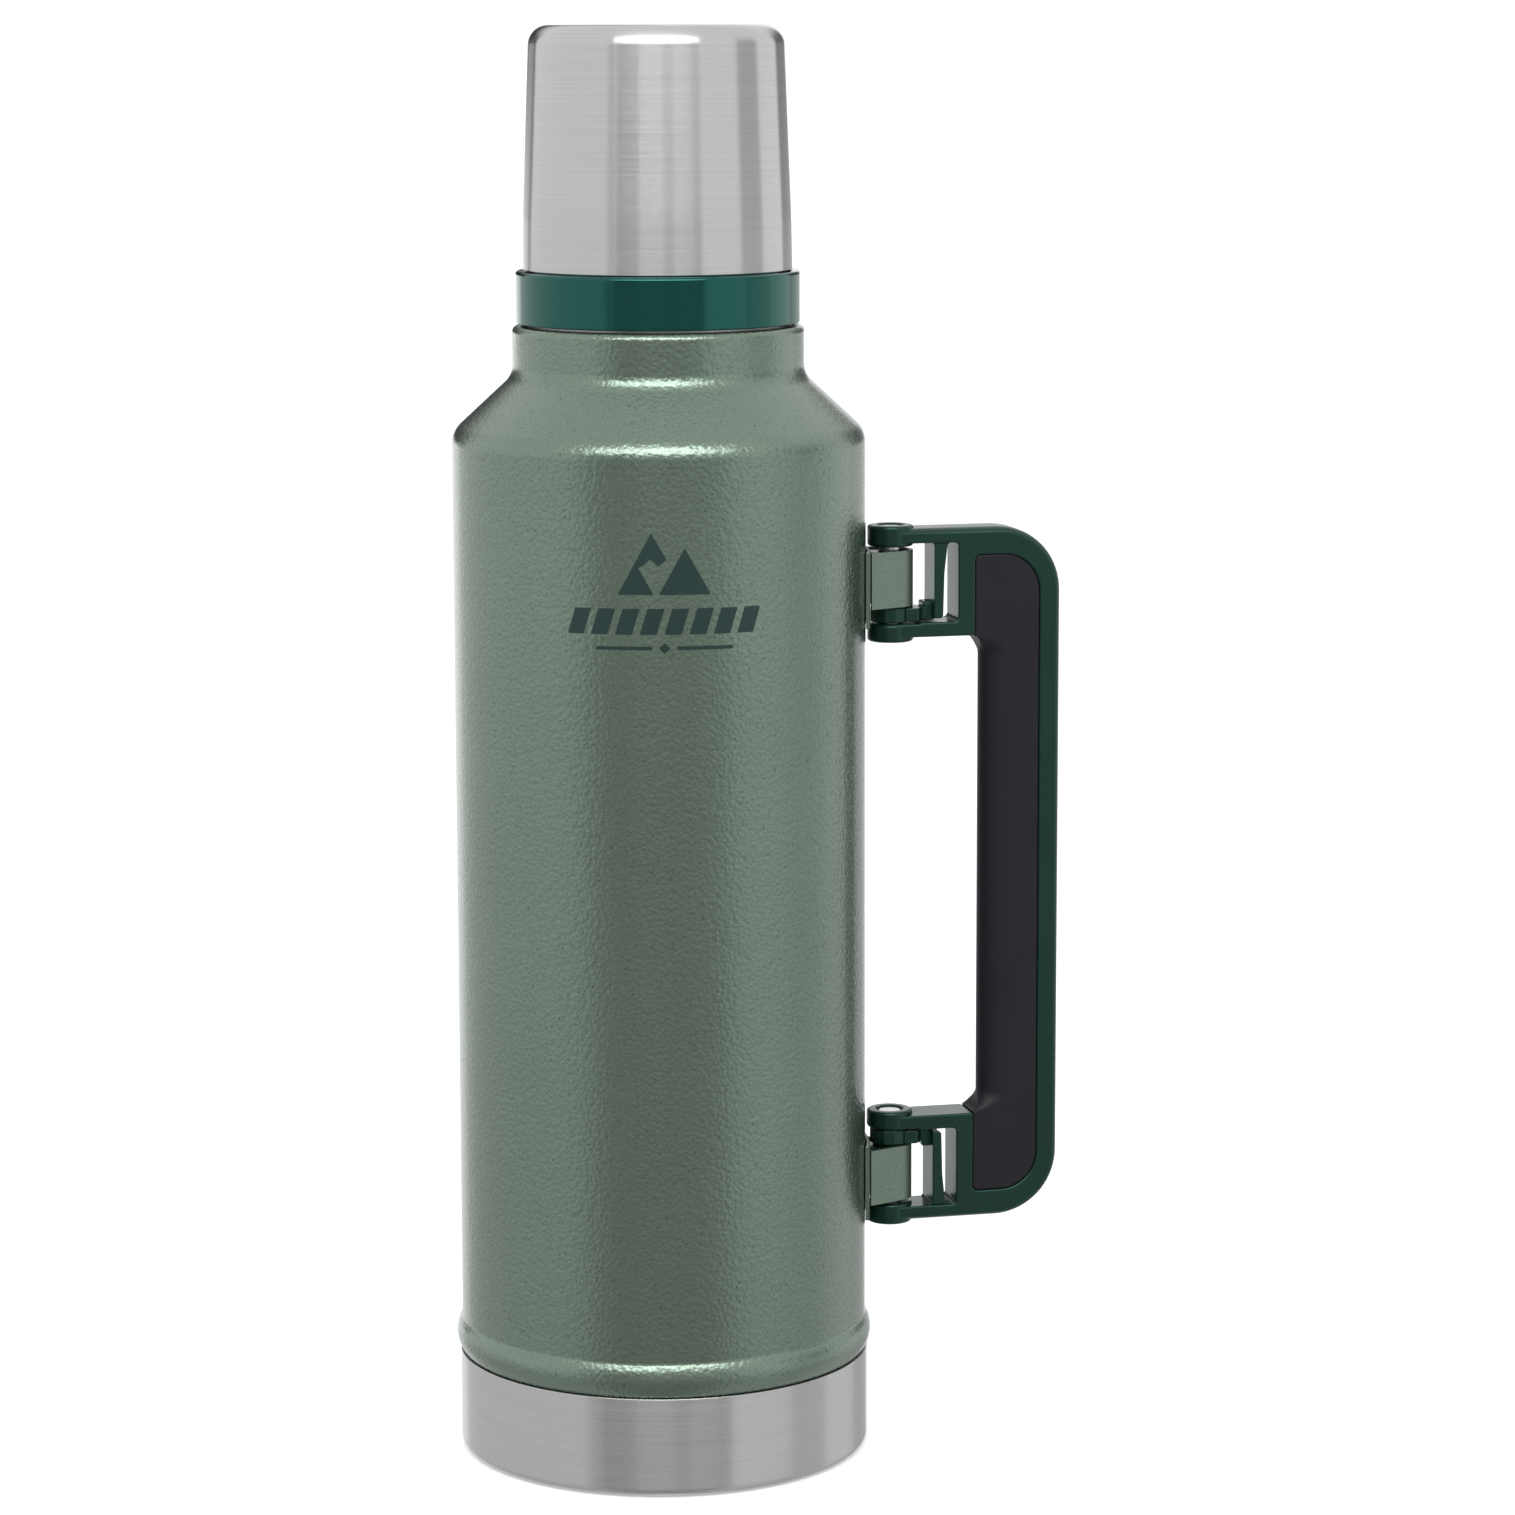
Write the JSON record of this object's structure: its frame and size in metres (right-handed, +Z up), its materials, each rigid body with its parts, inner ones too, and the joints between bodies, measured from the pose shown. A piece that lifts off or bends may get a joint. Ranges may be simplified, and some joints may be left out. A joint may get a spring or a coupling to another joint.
{
  "type": "vacuum flask",
  "caption": "Tall insulated steel vacuum flask with a screw-on drinking cup, a screw-in stopper and a folding side handle held by hinge brackets.",
  "frame": {"origin": "on the bottle's axis, in the plane that the flask stands on, 1 mm below the recessed panel of the base cup", "axes": "+Z up along the bottle, +X from the axis towards the opened handle"},
  "size_m": [0.159, 0.1076, 0.3658],
  "materials": {
    "hammertone": "hammertone enamel on steel, sage green",
    "bracket_paint": "sage green enamel on pressed steel",
    "brushed_steel": "brushed round the axis",
    "liner_steel": "satin drawn steel",
    "bare_steel": "plain pressed steel",
    "pin_steel": "bright turned steel",
    "gloss_green": "gloss moulded plastic, dark green",
    "satin_green": "satin moulded plastic, dark green",
    "grip_charcoal": "fine matt overmould, charcoal",
    "black_plastic": "satin moulded plastic, black",
    "silicone": "translucent silicone rubber",
    "foam": "rigid insulating foam",
    "seal_glass": "glass solder"
  },
  "bodies": {
    "bottle": {"outer_shell": "hammertone", "base_cup": "brushed_steel", "shell_bottom": "bare_steel", "vacuum_seal": "seal_glass", "getter": "bare_steel", "inner_liner": "liner_steel", "neck_sleeve": "liner_steel", "upper_bracket_strap": "bracket_paint", "upper_bracket_plate": "bracket_paint", "upper_cam": "satin_green", "upper_hinge_pin": "pin_steel", "lower_bracket_strap": "bracket_paint", "lower_bracket_plate": "bracket_paint", "lower_cam": "satin_green", "lower_hinge_pin": "pin_steel"},
    "handle": {"handle_frame": "satin_green", "grip": "grip_charcoal"},
    "upper_lock": {"upper_lock_arm": "satin_green"},
    "lower_lock": {"lower_lock_arm": "satin_green"},
    "cup_lift": {"cup_gasket": "silicone"},
    "cup_carrier": {"cup_insulation": "foam"},
    "cup": {"cup_shell": "brushed_steel", "cup_collar": "gloss_green", "cup_liner": "liner_steel"},
    "stopper_lift": {"stopper_gasket": "silicone"},
    "stopper_carrier": {"stopper_insulation": "foam"},
    "stopper": {"stopper_body": "black_plastic", "stopper_cap": "black_plastic", "stopper_rim_seal": "silicone"}
  },
  "joints": [
    {"name": "handle_swing", "type": "hinge", "parent": "bottle", "child": "handle", "pos_m": [0.06085, 0, 0.1464], "axis": [0, 0, 1], "range_deg": [-90, 90]},
    {"name": "upper_lock_flex", "type": "hinge", "parent": "handle", "child": "upper_lock", "pos_m": [0.0727, 0, 0.2336], "axis": [0, -1, 0], "range_deg": [0, 1.5], "stiffness_Nm_per_rad": 0.5},
    {"name": "lower_lock_flex", "type": "hinge", "parent": "handle", "child": "lower_lock", "pos_m": [0.0727, 0, 0.0592], "axis": [0, 1, 0], "range_deg": [0, 1.5], "stiffness_Nm_per_rad": 0.5},
    {"name": "cup_lift_off", "type": "slide", "parent": "bottle", "child": "cup_lift", "axis": [0, 0, 1], "range_m": [0, 0.085]},
    {"name": "cup_rise", "type": "slide", "parent": "cup_lift", "child": "cup_carrier", "axis": [0, 0, 1], "range_m": [0, 0.006]},
    {"name": "cup_unscrew", "type": "hinge", "parent": "cup_carrier", "child": "cup", "pos_m": [0, 0, 0.3], "axis": [0, 0, 1], "range_deg": [0, 540]},
    {"name": "stopper_lift_out", "type": "slide", "parent": "bottle", "child": "stopper_lift", "axis": [0, 0, 1], "range_m": [0, 0.041]},
    {"name": "stopper_rise", "type": "slide", "parent": "stopper_lift", "child": "stopper_carrier", "axis": [0, 0, 1], "range_m": [0, 0.006]},
    {"name": "stopper_unscrew", "type": "hinge", "parent": "stopper_carrier", "child": "stopper", "pos_m": [0, 0, 0.3], "axis": [0, 0, 1], "range_deg": [0, 540]}
  ],
  "couplings": [
    {"joint": "cup_rise", "follows": "cup_unscrew", "m_per_rad": 0.000636},
    {"joint": "stopper_rise", "follows": "stopper_unscrew", "m_per_rad": 0.000636}
  ]
}
